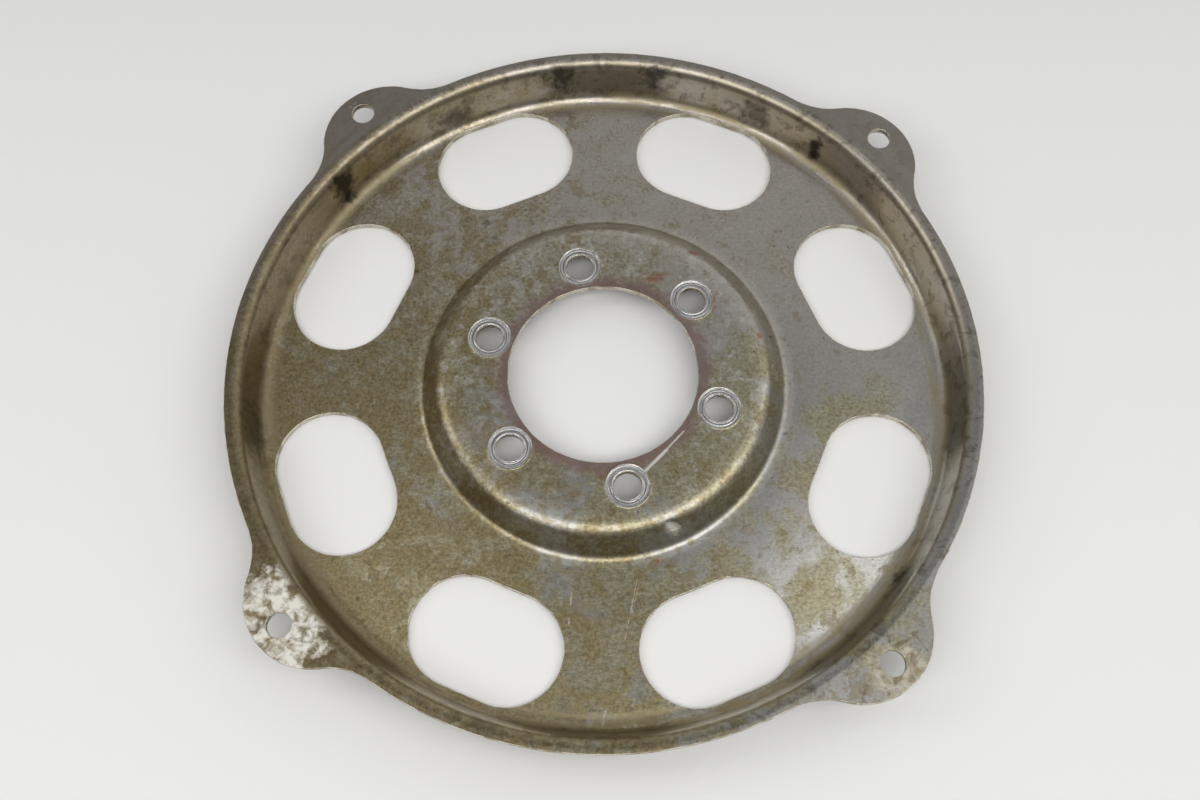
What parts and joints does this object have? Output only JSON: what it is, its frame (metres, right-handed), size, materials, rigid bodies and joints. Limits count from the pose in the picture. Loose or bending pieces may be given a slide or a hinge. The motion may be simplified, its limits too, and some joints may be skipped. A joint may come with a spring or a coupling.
{
  "type": "flexplate",
  "caption": "Dished pressed-steel flexplate: raised hub with crank bolt holes round a large bore, windowed web, raised rim with rounded ears for the converter bolts.",
  "frame": {"origin": "on the crank axis, in the plane of the web's underside, on which the plate lies", "axes": "+Z along the crank axis from the crankshaft towards the converter; +X midway between two windows"},
  "size_m": [0.35, 0.35, 0.026],
  "materials": {
    "steel": "oil-stained, tarnished bare steel with worn bolt seats and pale corrosion on two ears"
  },
  "bodies": {
    "root": {"flexplate": "steel"}
  },
  "joints": []
}
